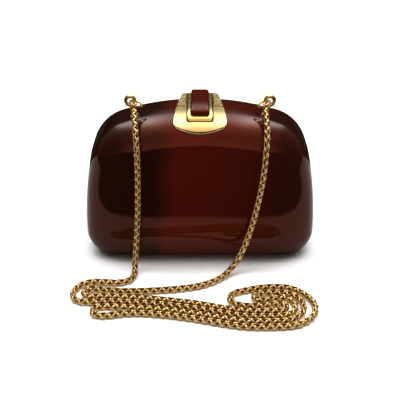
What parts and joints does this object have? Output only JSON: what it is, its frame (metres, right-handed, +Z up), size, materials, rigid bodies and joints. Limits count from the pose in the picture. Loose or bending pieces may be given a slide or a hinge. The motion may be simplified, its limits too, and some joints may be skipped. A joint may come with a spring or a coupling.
{
  "type": "minaudiere",
  "caption": "Hard-shell lacquered evening bag with a gold push-button clasp, a base hinge and a gold chain strap laid in loops in front of it.",
  "frame": {"origin": "on the floor under the middle of the closed bag's base, in the parting plane of the two shells", "axes": "+X to the right along the bag's width as seen from the front, +Y to the rear, +Z up"},
  "size_m": [0.165, 0.142, 0.1137],
  "materials": {
    "lacquer": "gloss",
    "gold": "polished",
    "chain_gold": "polished",
    "frame_brass": "satin",
    "steel": "satin",
    "lining": "satin"
  },
  "bodies": {
    "front_half": {"front_shell": "lacquer", "front_frame": "frame_brass", "front_lining": "lining", "hinge_front_leaf": "frame_brass", "hinge_pin": "steel", "front_hinge_rivets": "frame_brass", "clasp_front_plate": "gold", "clasp_bezel": "gold", "clasp_screws_front": "steel", "button_spring": "steel", "latch_keeper": "frame_brass", "keeper_rivets": "frame_brass", "ear_left": "gold", "ear_right": "gold", "ear_nuts": "frame_brass", "chain_end_links": "chain_gold", "chain_left_drop": "chain_gold", "chain_floor_loops": "chain_gold", "chain_right_drop": "chain_gold"},
    "rear_half": {"rear_shell": "lacquer", "rear_frame": "frame_brass", "rear_lining": "lining", "hinge_rear_leaf": "frame_brass", "rear_hinge_rivets": "frame_brass", "clasp_rear_plate": "gold", "clasp_screws_rear": "steel", "latch_tongue": "steel", "tongue_rivets": "frame_brass"},
    "button": {"button_inlay": "lacquer", "button_carrier": "gold", "stem_clip": "steel"},
    "ring_left": {"ring_left": "gold"},
    "ring_right": {"ring_right": "gold"}
  },
  "joints": [
    {"name": "lid_swing", "type": "hinge", "parent": "front_half", "child": "rear_half", "pos_m": [0, 0, 0.0029], "axis": [-1, 0, 0], "range_deg": [0, 75], "deforming": ["latch_tongue"]},
    {"name": "button_press", "type": "slide", "parent": "front_half", "child": "button", "axis": [0, 0, -1], "range_m": [0, 0.0016], "stiffness_N_per_m": 1100, "deforming": ["button_spring", "latch_tongue"]},
    {"name": "ring_left_turn", "type": "hinge", "parent": "front_half", "child": "ring_left", "pos_m": [-0.04244, -0.0036, 0.10742], "axis": [0.342, 0, 0.9397], "continuous": true},
    {"name": "ring_right_turn", "type": "hinge", "parent": "front_half", "child": "ring_right", "pos_m": [0.04244, -0.0036, 0.10742], "axis": [-0.342, 0, 0.9397], "continuous": true}
  ]
}
